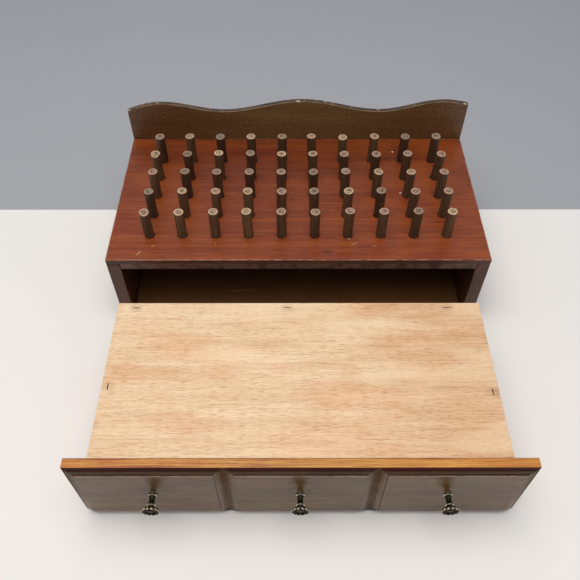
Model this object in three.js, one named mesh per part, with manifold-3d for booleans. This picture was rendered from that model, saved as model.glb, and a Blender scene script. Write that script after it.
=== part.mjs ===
// Bobbin box: an open wooden case with fifty spool pegs on its top and a wavy back board, and a
// drawer with three raised panels and three small knobs. At rest the drawer is out of the case,
// in front of it and upside down. Millimetres, +Z up, the front faces -Y, and the origin is the
// middle of the case's underside.
import * as THREE from 'three';
import { mergeVertices } from 'three/addons/utils/BufferGeometryUtils.js';
import Module from 'manifold-3d';

const wasm = await Module();
wasm.setup();

// Clearance between pieces that touch or are let into each other.
const GAP = 0.3;

// How far a cut runs past the face that it opens.
const CUT_PAST = 1;

// Points of a mesh this near each other are one point.
const MERGE_DISTANCE = 1e-4;

// Case.
const CASE_WIDTH = 305;
const CASE_DEPTH = 151.4;
const CASE_HEIGHT = 76;
const TOP_THICK = 10.8;
const TOP_LIP = 5;
const BOTTOM_THICK = 8.5;
const SIDE_THICK = 10.5;
const CASE_FRONT = -CASE_DEPTH / 2;
const CASE_REAR = CASE_DEPTH / 2;
const INNER_HALF = CASE_WIDTH / 2 - SIDE_THICK;

// Wavy back board: crests and hollows of its top edge from left to right, as [x, height].
const BACK_THICK = 4.5;
const BACK_WAVE = [
  [-152.5, 106.5], [-122, 113.8], [-66, 105.8], [4, 116.4], [74, 106], [131, 116], [152.5, 113],
];
const WAVE_STEPS = 6;

// Spool pegs, in five rows of ten.
const PEG_ROWS = 5;
const PEG_COLUMNS = 10;
const PEG_PITCH = 26.84;
const ROW_PITCH = 23.3;
const FIRST_ROW = 27.3;
const PEG_RADIUS = 4;
const PEG_CHAMFER = 0.5;
const PEG_STAND = 27.2;
const PEG_SEAT = 8;
const PEG_SIDES = 10;
const WEB_SIZE = 2;
const WEB_LIFT = 0.6;

// Drawer. Its own frame is the drawer as used: the origin is where the middle knob's axis meets
// the back of the front board.
const FRONT_WIDTH = 300;
const FRONT_HEIGHT = 73.5;
const FRONT_THICK = 9.5;
const FRONT_CORNER = 6;
const SQUARE_CORNER = 0.2;
const CORNER_STEPS = 4;
const MOULD_WIDTH = 6.2;
const MOULD_DEPTH = 3;
const MOULD_STEP = 0.7;
const MOULD_SOFTNESS = 1.4;
const MOULD_BANDS = 5;
const MOULD_BEVEL = 0.15;
const PANEL_ROOT = 2;
const GROOVE_X = 48.7;
const HOUSING_DEPTH = 3;
const BOX_WIDTH = 276;
const BOX_DEPTH = 130;
const WALL_THICK = 9.5;
const PLYWOOD_THICK = 3.2;
const FRONT_BELOW_BOX = 9;
const FRONT_ABOVE_BOX = 18.8;
const FLOOR_GAP = 0.4;
const DRAWER_OUT = 164;
const BOX_HALF = BOX_WIDTH / 2;
const WALL_INSIDE = BOX_HALF - WALL_THICK;
const BOX_UNDERSIDE = -FRONT_HEIGHT / 2 + FRONT_BELOW_BOX;
const WALL_BOTTOM = BOX_UNDERSIDE + PLYWOOD_THICK + GAP;
const WALL_TOP = FRONT_HEIGHT / 2 - FRONT_ABOVE_BOX;
const BOX_BACK_FACE = BOX_DEPTH - WALL_THICK;

// Knobs and their screws. A knob's outline runs from the middle of its dished head to its foot,
// as [radius, distance in front of the foot].
const KNOB_X = 98;
const KNOB_OUTLINE = [
  [0, 10.5], [3.4, 11.1], [5.6, 12], [6.35, 11.2], [5.4, 10], [3.4, 8.6], [2.4, 7.8], [2.9, 6.9],
  [2.3, 6], [2.1, 3], [2.8, 0.9], [3.1, 0],
];
const KNOB_SIDES = 16;
const SCREW_RADIUS = 1.2;
const SCREW_HEAD_RADIUS = 2.8;
const SCREW_HEAD_THICK = 1.8;
const SCREW_HEAD_ROUND = 0.8;
const SCREW_TIP = 0.5;
const SCREW_REACH = 4.5;
const SCREW_SIDES = 10;

// Brads and staples. Their heights are from the case's underside, or from the drawer's middle.
const BRAD_RADIUS = 0.7;
const BRAD_HEAD_RADIUS = 1.2;
const BRAD_HEAD_THICK = 0.8;
const BRAD_LENGTH = 18;
const BRAD_TIP = 1;
const BRAD_SIDES = 8;
const BACK_BRAD_HEIGHTS = [18, 54];
const BACK_BRAD_X = 70;
const DRAWER_BRAD_HEIGHTS = [-13, 8];
const STAPLE_CROWN = 6.4;
const STAPLE_WIRE = 0.6;
const STAPLE_LEG = 8;
const STAPLE_IN = 4.5;
const REAR_STAPLES_X = [-113, 9, 124];
const LEFT_STAPLE_Y = 52;
const RIGHT_STAPLE_Y = 57;

const MATERIALS = {
  mahogany: { color: 0x8c482a, roughness: 0.42, metalness: 0 },
  darkStain: { color: 0x46301f, roughness: 0.5, metalness: 0 },
  caseEdge: { color: 0x4f3328, roughness: 0.5, metalness: 0 },
  pegStain: { color: 0x41301f, roughness: 0.55, metalness: 0 },
  frontStain: { color: 0x695c50, roughness: 0.45, metalness: 0 },
  drawerWood: { color: 0xc79a63, roughness: 0.65, metalness: 0 },
  plywood: { color: 0xe0bd93, roughness: 0.7, metalness: 0 },
  bronze: { color: 0x4a4336, roughness: 0.35, metalness: 0.9 },
  steel: { color: 0x8a8a88, roughness: 0.4, metalness: 0.9 },
};

// ---- Solids -----------------------------------------------------------------------------------

function toSolid(geometry) {
  const bare = geometry.clone();
  bare.deleteAttribute('normal');
  bare.deleteAttribute('uv');
  const merged = mergeVertices(bare, MERGE_DISTANCE);
  return new wasm.Manifold(new wasm.Mesh({
    numProp: 3,
    vertProperties: new Float32Array(merged.attributes.position.array),
    triVerts: new Uint32Array(merged.index.array),
  }));
}

function toGeometry(solid) {
  const { vertProperties, triVerts } = solid.getMesh();
  const geometry = new THREE.BufferGeometry();
  geometry.setAttribute('position', new THREE.BufferAttribute(vertProperties, 3));
  geometry.setIndex(new THREE.BufferAttribute(triVerts, 1));
  geometry.computeVertexNormals();
  return geometry;
}

const join = (solids) => solids.reduce((whole, next) => whole.add(next));
const cut = (solid, tools) => tools.reduce((left, tool) => left.subtract(tool), solid);

// A block given by its lowest and highest corners.
function block([x0, y0, z0], [x1, y1, z1]) {
  const geometry = new THREE.BoxGeometry(x1 - x0, y1 - y0, z1 - z0);
  geometry.translate((x0 + x1) / 2, (y0 + y1) / 2, (z0 + z1) / 2);
  return toSolid(geometry);
}

const UNTURNED = new THREE.Euler();
const UPRIGHT = new THREE.Euler(Math.PI / 2, 0, 0);

// A body of revolution about the Y axis from [radius, y] points, turned to point along an axis.
function revolved(points, sides, turn, place) {
  const profile = points.map(([radius, y]) => new THREE.Vector2(radius, y));
  const geometry = new THREE.LatheGeometry(profile, sides);
  geometry.applyMatrix4(new THREE.Matrix4().makeRotationFromEuler(turn));
  geometry.translate(...place);
  return toSolid(geometry);
}

// A solid that joins outlines of equal point counts, given as { y, outline } from back to front.
function loft(levels) {
  const count = levels[0].outline.length;
  const positions = levels.flatMap(({ y, outline }) => outline.flatMap((p) => [p.x, y, p.y]));
  const indices = [];
  for (let level = 0; level + 1 < levels.length; level += 1) {
    for (let i = 0; i < count; i += 1) {
      const a = level * count + i;
      const b = level * count + ((i + 1) % count);
      indices.push(a, b, b + count, a, b + count, a + count);
    }
  }
  const last = (levels.length - 1) * count;
  for (const [a, b, c] of THREE.ShapeUtils.triangulateShape(levels[0].outline, [])) {
    indices.push(a, c, b);
  }
  for (const [a, b, c] of THREE.ShapeUtils.triangulateShape(levels.at(-1).outline, [])) {
    indices.push(last + a, last + b, last + c);
  }
  const geometry = new THREE.BufferGeometry();
  geometry.setAttribute('position', new THREE.Float32BufferAttribute(positions, 3));
  geometry.setIndex(indices);
  return toSolid(geometry);
}

// A rectangle in the XZ plane whose two upper corners may be rounded, counter-clockwise.
function panelOutline(x0, x1, z0, z1, leftRadius, rightRadius) {
  const arc = (cx, cz, radius, from) => Array.from({ length: CORNER_STEPS + 1 }, (_, k) => {
    const angle = from + (k / CORNER_STEPS) * (Math.PI / 2);
    return new THREE.Vector2(cx + radius * Math.cos(angle), cz + radius * Math.sin(angle));
  });
  return [
    new THREE.Vector2(x0, z0),
    new THREE.Vector2(x1, z0),
    ...arc(x1 - rightRadius, z1 - rightRadius, rightRadius, 0),
    ...arc(x0 + leftRadius, z1 - leftRadius, leftRadius, Math.PI / 2),
  ];
}

// ---- Fasteners --------------------------------------------------------------------------------

// A brad whose head lies flush at the origin and whose shank points along -Y.
function bradPoints(clearance) {
  const shank = BRAD_RADIUS + clearance;
  const head = BRAD_HEAD_RADIUS + clearance;
  return [
    [0, -BRAD_LENGTH - clearance],
    [shank, -BRAD_LENGTH + BRAD_TIP - clearance],
    [shank, -BRAD_HEAD_THICK - clearance],
    [head, -BRAD_HEAD_THICK - clearance],
    [head, clearance],
    [0, clearance],
  ];
}

const brad = (turn, place) => revolved(bradPoints(0), BRAD_SIDES, turn, place);
const bradHole = (turn, place) => revolved(bradPoints(GAP), BRAD_SIDES, turn, place);

// A staple driven upwards into a face at height z, its crown flush with the face and along an axis.
function staple([x, y, z], axis, clearance) {
  const half = STAPLE_CROWN / 2;
  const wire = STAPLE_WIRE / 2;
  const across = wire + clearance;
  const bar = (u0, u1, z0, z1) => (axis === 'x'
    ? block([x + u0, y - across, z0], [x + u1, y + across, z1])
    : block([x - across, y + u0, z0], [x + across, y + u1, z1]));
  const crown = bar(-half - clearance, half + clearance, z - clearance,
    z + STAPLE_WIRE + clearance);
  const leg = (u) => bar(u - across, u + across, z + wire, z + STAPLE_LEG + clearance);
  return join([crown, leg(-half + wire), leg(half - wire)]);
}

// ---- Case -------------------------------------------------------------------------------------

const rowY = (row) => CASE_FRONT + FIRST_ROW + row * ROW_PITCH;
const columnX = (column) => (column - (PEG_COLUMNS - 1) / 2) * PEG_PITCH;
const SEAT_Z = CASE_HEIGHT - PEG_SEAT;

// One row of pegs. A thin strip hidden inside the top board joins them below its surface.
function pegRow(row) {
  const y = rowY(row);
  const foot = SEAT_Z + GAP;
  const crown = CASE_HEIGHT + PEG_STAND;
  const points = [
    [0, foot], [PEG_RADIUS, foot], [PEG_RADIUS, crown - PEG_CHAMFER],
    [PEG_RADIUS - PEG_CHAMFER, crown], [0, crown],
  ];
  const pegs = Array.from({ length: PEG_COLUMNS }, (_, column) => (
    revolved(points, PEG_SIDES, UPRIGHT, [columnX(column), y, 0])));
  const half = WEB_SIZE / 2;
  const low = SEAT_Z + WEB_LIFT;
  const web = block([columnX(0), y - half, low],
    [columnX(PEG_COLUMNS - 1), y + half, low + WEB_SIZE]);
  return join([web, ...pegs]);
}

// The holes of one row of pegs and the channel of the strip that joins them.
function pegRowHoles(row) {
  const y = rowY(row);
  const radius = PEG_RADIUS + GAP;
  const mouth = CASE_HEIGHT + CUT_PAST;
  const points = [[0, SEAT_Z], [radius, SEAT_Z], [radius, mouth], [0, mouth]];
  const holes = Array.from({ length: PEG_COLUMNS }, (_, column) => (
    revolved(points, PEG_SIDES, UPRIGHT, [columnX(column), y, 0])));
  const half = WEB_SIZE / 2 + GAP;
  const low = SEAT_Z + WEB_LIFT - GAP;
  const channel = block([columnX(0), y - half, low],
    [columnX(PEG_COLUMNS - 1), y + half, low + 2 * half]);
  return join([channel, ...holes]);
}

const BACK_FACE = CASE_REAR + GAP + BACK_THICK;
const BACK_BRADS = [-1, 1].flatMap((side) => [
  ...BACK_BRAD_HEIGHTS.map((z) => [side * (CASE_WIDTH - SIDE_THICK) / 2, BACK_FACE, z]),
  [side * BACK_BRAD_X, BACK_FACE, CASE_HEIGHT - TOP_THICK / 2],
  [side * BACK_BRAD_X, BACK_FACE, BOTTOM_THICK / 2],
]);
const backBradHoles = () => BACK_BRADS.map((place) => bradHole(UNTURNED, place));

function topBoard() {
  const lip = block([-CASE_WIDTH / 2, CASE_FRONT, CASE_HEIGHT - TOP_LIP],
    [CASE_WIDTH / 2, CASE_REAR, CASE_HEIGHT]);
  const inner = INNER_HALF - GAP;
  const body = block([-inner, CASE_FRONT, CASE_HEIGHT - TOP_THICK],
    [inner, CASE_REAR, CASE_HEIGHT - TOP_LIP / 2]);
  const rows = Array.from({ length: PEG_ROWS }, (_, row) => pegRowHoles(row));
  return cut(lip.add(body), [...rows, ...backBradHoles()]);
}

function bottomBoard() {
  const inner = INNER_HALF - GAP;
  const board = block([-inner, CASE_FRONT, 0], [inner, CASE_REAR, BOTTOM_THICK]);
  return cut(board, backBradHoles());
}

function caseSide(side) {
  const outer = side * CASE_WIDTH / 2;
  const inner = side * INNER_HALF;
  const board = block([Math.min(outer, inner), CASE_FRONT, 0],
    [Math.max(outer, inner), CASE_REAR, CASE_HEIGHT - TOP_LIP - GAP]);
  return cut(board, backBradHoles());
}

// How far the top edge has risen or fallen at a share t of the way between two of its points:
// a quarter wave in the first and the last stretch, and half a cosine wave in the others.
function waveEase(stretch, t) {
  if (stretch === 0) {
    return Math.sin((Math.PI / 2) * t);
  }
  if (stretch === BACK_WAVE.length - 2) {
    return 1 - Math.cos((Math.PI / 2) * t);
  }
  return (1 - Math.cos(Math.PI * t)) / 2;
}

function wavePoints() {
  const points = [];
  for (let i = 0; i + 1 < BACK_WAVE.length; i += 1) {
    const [x0, z0] = BACK_WAVE[i];
    const [x1, z1] = BACK_WAVE[i + 1];
    for (let step = 0; step < WAVE_STEPS; step += 1) {
      const t = step / WAVE_STEPS;
      points.push(new THREE.Vector2(x0 + (x1 - x0) * t, z0 + (z1 - z0) * waveEase(i, t)));
    }
  }
  points.push(new THREE.Vector2(...BACK_WAVE.at(-1)));
  return points;
}

function backBoard() {
  const half = CASE_WIDTH / 2;
  const outline = [
    new THREE.Vector2(-half, 0),
    new THREE.Vector2(half, 0),
    ...wavePoints().reverse(),
  ];
  const board = loft([{ y: BACK_FACE, outline }, { y: CASE_REAR + GAP, outline }]);
  return cut(board, backBradHoles());
}

// ---- Drawer -----------------------------------------------------------------------------------

// Offset from the edge and depth below the face of the moulding round each raised field.
function mouldingProfile() {
  const rise = MOULD_DEPTH - MOULD_STEP;
  const profile = [];
  for (let k = 0; k <= MOULD_BANDS; k += 1) {
    const swell = Math.sin((Math.PI / 2) * (k / MOULD_BANDS)) ** MOULD_SOFTNESS;
    profile.push([(MOULD_WIDTH * k) / MOULD_BANDS, MOULD_DEPTH - rise * swell]);
  }
  profile.push([MOULD_WIDTH + MOULD_BEVEL, 0]);
  return profile;
}

// One of the three panels: a field raised above a soft moulding on all four sides.
function raisedPanel(x0, x1, leftRadius, rightRadius) {
  const top = FRONT_HEIGHT / 2;
  const profile = [[0, MOULD_DEPTH + PANEL_ROOT], ...mouldingProfile()];
  const levels = profile.map(([inset, depth]) => ({
    y: -FRONT_THICK + depth,
    outline: panelOutline(x0 + inset, x1 - inset, -top + inset, top - inset,
      Math.max(leftRadius - inset, SQUARE_CORNER), Math.max(rightRadius - inset, SQUARE_CORNER)),
  }));
  return loft(levels);
}

const KNOB_PLACES = { left: -KNOB_X, middle: 0, right: KNOB_X };

function drawerFront() {
  const edge = FRONT_WIDTH / 2;
  const top = FRONT_HEIGHT / 2;
  const slabOutline = panelOutline(-edge, edge, -top, top, FRONT_CORNER, FRONT_CORNER);
  const slab = loft([
    { y: 0, outline: slabOutline },
    { y: -FRONT_THICK + MOULD_DEPTH, outline: slabOutline },
  ]);
  const panels = [
    raisedPanel(-edge, -GROOVE_X, FRONT_CORNER, SQUARE_CORNER),
    raisedPanel(-GROOVE_X, GROOVE_X, SQUARE_CORNER, SQUARE_CORNER),
    raisedPanel(GROOVE_X, edge, SQUARE_CORNER, FRONT_CORNER),
  ];
  const housings = [-1, 1].map((side) => {
    const inner = side * (WALL_INSIDE - GAP);
    const outer = side * (BOX_HALF + GAP);
    return block([Math.min(inner, outer), -HOUSING_DEPTH, WALL_BOTTOM - 2 * GAP],
      [Math.max(inner, outer), CUT_PAST, WALL_TOP + GAP]);
  });
  const bottomGroove = block([-BOX_HALF - GAP, -HOUSING_DEPTH, BOX_UNDERSIDE - GAP],
    [BOX_HALF + GAP, CUT_PAST, BOX_UNDERSIDE + PLYWOOD_THICK + GAP]);
  const bore = SCREW_RADIUS + GAP;
  const mouth = -FRONT_THICK - CUT_PAST;
  const screwHoles = Object.values(KNOB_PLACES).map((x) => revolved(
    [[0, mouth], [bore, mouth], [bore, CUT_PAST], [0, CUT_PAST]],
    SCREW_SIDES, UNTURNED, [x, 0, 0]));
  return cut(join([slab, ...panels]), [...housings, bottomGroove, ...screwHoles]);
}

const DRAWER_BRADS = [-1, 1].flatMap((side) => DRAWER_BRAD_HEIGHTS.map((z) => ({
  turn: new THREE.Euler(0, 0, -side * Math.PI / 2),
  place: [side * BOX_HALF, BOX_DEPTH - WALL_THICK / 2, z],
})));
const drawerBradHoles = () => DRAWER_BRADS.map(({ turn, place }) => bradHole(turn, place));

const STAPLES = [
  ...REAR_STAPLES_X.map((x) => ({ place: [x, BOX_DEPTH - STAPLE_IN, BOX_UNDERSIDE], axis: 'x' })),
  { place: [-BOX_HALF + STAPLE_IN, LEFT_STAPLE_Y, BOX_UNDERSIDE], axis: 'y' },
  { place: [BOX_HALF - STAPLE_IN, RIGHT_STAPLE_Y, BOX_UNDERSIDE], axis: 'y' },
];
const stapleSlots = () => STAPLES.map(({ place, axis }) => staple(place, axis, GAP));

function drawerSide(side) {
  const outer = side * BOX_HALF;
  const inner = side * WALL_INSIDE;
  const board = block([Math.min(outer, inner), -HOUSING_DEPTH + GAP, WALL_BOTTOM],
    [Math.max(outer, inner), BOX_DEPTH, WALL_TOP]);
  return cut(board, [...drawerBradHoles(), ...stapleSlots()]);
}

function drawerBack() {
  const inner = WALL_INSIDE - GAP;
  const board = block([-inner, BOX_BACK_FACE, WALL_BOTTOM], [inner, BOX_DEPTH, WALL_TOP]);
  return cut(board, [...drawerBradHoles(), ...stapleSlots()]);
}

function drawerBottom() {
  const board = block([-BOX_HALF, -HOUSING_DEPTH + GAP, BOX_UNDERSIDE],
    [BOX_HALF, BOX_DEPTH, BOX_UNDERSIDE + PLYWOOD_THICK]);
  return cut(board, stapleSlots());
}

// A slender waisted stem with a collar and a dished round head, pointing along -Y.
function knob(x) {
  const foot = -FRONT_THICK - GAP;
  const bore = SCREW_RADIUS + GAP;
  const boreEnd = -FRONT_THICK - SCREW_REACH - GAP;
  return revolved([
    ...KNOB_OUTLINE.map(([radius, ahead]) => [radius, foot - ahead]),
    [bore, foot], [bore, boreEnd], [0, boreEnd],
  ], KNOB_SIDES, UNTURNED, [x, 0, 0]);
}

// A pan-head machine screw from inside the drawer, its shank reaching into the knob's foot.
function knobScrew(x) {
  const tip = -FRONT_THICK - SCREW_REACH;
  const rim = GAP + SCREW_HEAD_THICK;
  return revolved([
    [0, tip], [SCREW_RADIUS, tip + SCREW_TIP], [SCREW_RADIUS, GAP], [SCREW_HEAD_RADIUS, GAP],
    [SCREW_HEAD_RADIUS, rim - SCREW_HEAD_ROUND], [SCREW_HEAD_RADIUS - SCREW_HEAD_ROUND, rim],
    [0, rim],
  ], SCREW_SIDES, UNTURNED, [x, 0, 0]);
}

// ---- Assembly ---------------------------------------------------------------------------------

function piece(name, solid, material) {
  const mesh = new THREE.Mesh(
    toGeometry(solid), new THREE.MeshStandardMaterial(MATERIALS[material]));
  mesh.name = name;
  return mesh;
}

function caseGroup() {
  const group = new THREE.Group();
  group.add(
    piece('top_board', topBoard(), 'mahogany'),
    piece('bottom_board', bottomBoard(), 'caseEdge'),
    piece('left_side', caseSide(-1), 'caseEdge'),
    piece('right_side', caseSide(1), 'caseEdge'),
    piece('wavy_back_board', backBoard(), 'darkStain'),
  );
  for (let row = 0; row < PEG_ROWS; row += 1) {
    group.add(piece(`peg_row_${row + 1}`, pegRow(row), 'pegStain'));
  }
  BACK_BRADS.forEach((place, i) => {
    group.add(piece(`back_brad_${i + 1}`, brad(UNTURNED, place), 'steel'));
  });
  return group;
}

function drawerGroup() {
  const group = new THREE.Group();
  group.add(
    piece('drawer_front', drawerFront(), 'frontStain'),
    piece('drawer_left_side', drawerSide(-1), 'drawerWood'),
    piece('drawer_right_side', drawerSide(1), 'drawerWood'),
    piece('drawer_back', drawerBack(), 'drawerWood'),
    piece('drawer_bottom', drawerBottom(), 'plywood'),
  );
  for (const [name, x] of Object.entries(KNOB_PLACES)) {
    group.add(piece(`${name}_knob`, knob(x), 'bronze'));
    group.add(piece(`${name}_knob_screw`, knobScrew(x), 'steel'));
  }
  DRAWER_BRADS.forEach(({ turn, place }, i) => {
    group.add(piece(`drawer_brad_${i + 1}`, brad(turn, place), 'steel'));
  });
  STAPLES.forEach(({ place, axis }, i) => {
    group.add(piece(`bottom_staple_${i + 1}`, staple(place, axis, 0), 'steel'));
  });
  return group;
}

// At rest the drawer lies upside down in front of the case, turned about its middle knob.
const drawer = drawerGroup();
drawer.rotation.y = Math.PI;
drawer.position.set(0, CASE_FRONT - DRAWER_OUT, FLOOR_GAP + FRONT_HEIGHT / 2);

const bobbinBox = new THREE.Group();
bobbinBox.name = 'bobbin_box';
bobbinBox.add(caseGroup(), drawer);

export default bobbinBox;
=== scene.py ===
"""Looks of the bobbin box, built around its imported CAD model.

A stained wooden case with fifty spool pegs and a wavy back board stands upright. Its drawer, with
three raised fields and three small knobs, is out in front of it and upside down. The frame is the
CAD model's: +Z up, and the front faces -Y. Blender and the frame use metres. Sizes written here
are millimetres, which mm() and MM turn into metres.
"""
import math
import random

import bmesh
import bpy
from mathutils import Matrix, Vector, noise


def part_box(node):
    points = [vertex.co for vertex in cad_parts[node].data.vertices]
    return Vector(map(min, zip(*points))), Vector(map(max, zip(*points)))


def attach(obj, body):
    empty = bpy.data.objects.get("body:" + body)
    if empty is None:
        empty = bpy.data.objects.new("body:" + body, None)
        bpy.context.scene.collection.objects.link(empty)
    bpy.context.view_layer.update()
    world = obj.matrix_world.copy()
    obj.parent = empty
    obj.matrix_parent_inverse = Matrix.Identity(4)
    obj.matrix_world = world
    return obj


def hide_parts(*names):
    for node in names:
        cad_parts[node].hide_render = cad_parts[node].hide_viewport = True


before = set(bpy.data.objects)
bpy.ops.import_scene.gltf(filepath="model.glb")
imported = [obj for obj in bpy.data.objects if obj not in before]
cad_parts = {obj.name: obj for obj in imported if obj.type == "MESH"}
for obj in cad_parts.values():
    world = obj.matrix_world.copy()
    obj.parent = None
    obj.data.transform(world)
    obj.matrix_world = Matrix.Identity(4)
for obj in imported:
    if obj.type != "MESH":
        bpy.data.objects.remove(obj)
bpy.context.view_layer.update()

MM = 0.001

# Camera, as solved from the case and the pegs.
CAMERA_PLACE = (-7.0, -410.8, 453.9)
CAMERA_PITCH = 51.1
CAMERA_YAW = -0.06
CAMERA_LENS = 39.8
CAMERA_SENSOR = 36.0

# A pale floor reaches to FLOOR_REAR, and a greyer one goes on behind it, standing for the wall
# beyond, its grey partly the wall's own and partly painted shade.
FLOOR_REACH = 2500
FLOOR_REAR = 60
LIGHT_PLACE = (-120, -260, 1400)
LIGHT_TARGET = (0, -140, 0)
LIGHT_SIZE = (1300, 1100)
LIGHT_POWER = 17.5
ROOM_BRIGHTNESS = 0.42

# All boards: corners sharper than SHARP_ANGLE stay sharp, and those over EDGE_ANGLE are rounded.
SHARP_ANGLE = math.radians(38)
EDGE_ANGLE = math.radians(30)
EDGE_ROUND = 0.7
OUTLINE_ROUND = 0.6
PLYWOOD_ROUND = 0.3

# Case. The wave is the crests and hollows of the back board's top edge, as (x, height).
TOP_LIP = 5.0
BACK_WAVE = [
    (-152.5, 106.5), (-122, 113.8), (-66, 105.8), (4, 116.4), (74, 106), (131, 116), (152.5, 113),
]
WAVE_STEPS = 24

# Marks on the top board: (x, y), (width, length), and for scratches the turn in degrees.
TOP_SCRATCHES = [
    ((-126.8, -68.1), (1.2, 7.5), 38), ((-116.7, -60.6), (1.0, 4.5), 60),
    ((-42.4, -59.4), (0.8, 1.6), 0), ((44.9, -58.1), (0.9, 6.0), 65),
    ((61.1, -60.3), (0.9, 3.0), 80), ((-66.5, -58.3), (0.8, 2.0), 10),
]
TOP_CHIPS = [((87.4, 56.7), (2.2, 1.6)), ((88.5, 1.6), (1.2, 2.4)), ((40.9, -52.5), (1.7, 1.7))]
TOP_STAINS = [((-4.8, -5.1), (4.0, 2.0)), ((23.2, -66.6), (9.0, 5.0))]
MARK_DEPTH = 3

# A scratch in the bay, and chips on the back board's edge: centre, full widths and, for the
# scratch, the turn in degrees.
BAY_SCRATCH = ((-50, -52, 8.5), (34, 1.1, 3), -2)
BACK_CHIPS = [
    ((-151.1, 76.5, 107.9), (3.4, 5, 3)), ((-36.8, 76.2, 111.7), (2.6, 3, 2.4)),
    ((0.6, 76.5, 116.6), (5, 4, 2)), ((149.5, 76.5, 114.0), (4, 4, 3)),
]

# Pegs. A peg may be a little shorter or longer, lean, and stand off its place.
PEG_ROWS = 5
PEG_COLUMNS = 10
PEG_RADIUS = 4.0
PEG_HOLE_RADIUS = 4.15
PEG_HOLE_SIDES = 32
PEG_SIDES = 28
PEG_SEAT_GAP = 0.2
PEG_SHORTER = 0.45
PEG_LONGER = 0.1
PEG_THINNEST = 0.97
PEG_LEAN = 0.9
PEG_SHIFT = 0.35
PEG_SLOPE = 0.05
PEG_UNEVEN = 0.012
# Pegs with a corner broken off, by (row, column): the angle of the break and its depth.
PEG_BREAKS = {(4, 1): (-110, 3.2), (1, 1): (-75, 1.0)}
BREAK_START = 0.35

# Drawer front: three raised fields, each inside a moulding that curves down to the board's edge.
FRONT_CORNER = 6.0
SQUARE_CORNER = 0.01
CORNER_ARCS = 8
GROOVE_X = 48.7
MOULD_WIDTH = 6.2
MOULD_DEPTH = 3.0
MOULD_STEP = 0.7
MOULD_SOFTNESS = 1.4
MOULD_BANDS = 10
SLAB_ROUND = 0.5
HOUSING_GAP = 0.3
# Small holes in the front, as (x, z), painted as dark spots of shade, since the mesh has no holes.
FRONT_HOLES = [(64.6, 58.8), (102.1, 5.6), (-107, 56.7), (-137.4, 4.9)]

# Plywood bottom, with warmer patches as their centre and full widths.
WARM_PATCHES = [((36, -176, 38), (30, 44, 90)), ((64, -146, 38), (60, 24, 90))]
PLIES = 3

# Knobs: the body each rides, and (radius, height) from the foot to the middle of the face.
KNOB_BODIES = {"left": "drawer", "middle": "middle_knob", "right": "drawer"}
KNOB_PETALS = 12
KNOB_FOOT = [(0, 0), (3.1, 0), (3.15, 0.35), (2.9, 0.7), (2.3, 1.1)]
KNOB_STEM = [(1.95, 1.9), (1.8, 3.2), (1.85, 4.6), (2.1, 5.8)]
KNOB_COLLAR = [(2.75, 6.3), (2.95, 6.8), (2.7, 7.3), (2.3, 7.7)]
KNOB_HEAD = [(2.5, 8.1), (3.5, 8.6), (4.6, 9.1), (5.6, 9.8), (6.2, 10.4)]
KNOB_RIM = [(6.35, 10.9), (6.2, 11.35), (5.8, 11.6), (5.2, 11.45)]
KNOB_DISH = [(4.5, 10.9), (3.9, 10.3), (3.5, 9.9), (3.2, 9.85), (3.0, 10.1)]
KNOB_BOSS = [(2.6, 10.5), (1.9, 10.9), (1.0, 11.15), (0, 11.2)]
KNOB_NECK = 8.5
PETAL_ROOT = 3.6
PETAL_LENGTH = 2.75

# Fasteners.
BACK_BRADS = 8
DRAWER_BRADS = 4
STAPLES = 5
SCREW_SIDES = 24
SCREW_PITCH = 0.8
SCREW_CORE = 0.95
SCREW_CREST = 1.2
SLOT_REACH = 4
SLOT_DEPTH = 0.8
SLOT_WIDTH = 0.6
BRAD_SIDES = 20
BRAD_RADIUS = 0.7
STAPLE_BEND = 0.7
STAPLE_PROUD = 0.15
BEND_STEPS = 4
WIRE_HALF_THICK = 0.3
WIRE_HALF_WIDE = 0.5
WIRE_SIDES = 10


def mm(*values):
    """A vector given in millimetres."""
    return Vector(values) * MM


def tone(red, green, blue):
    """Linear colour of a display colour given as 0 to 255."""
    def linear(value):
        value /= 255
        return value / 12.92 if value <= 0.04045 else ((value + 0.055) / 1.055) ** 2.4
    return (linear(red), linear(green), linear(blue), 1.0)


# ---- Node materials ----

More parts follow.
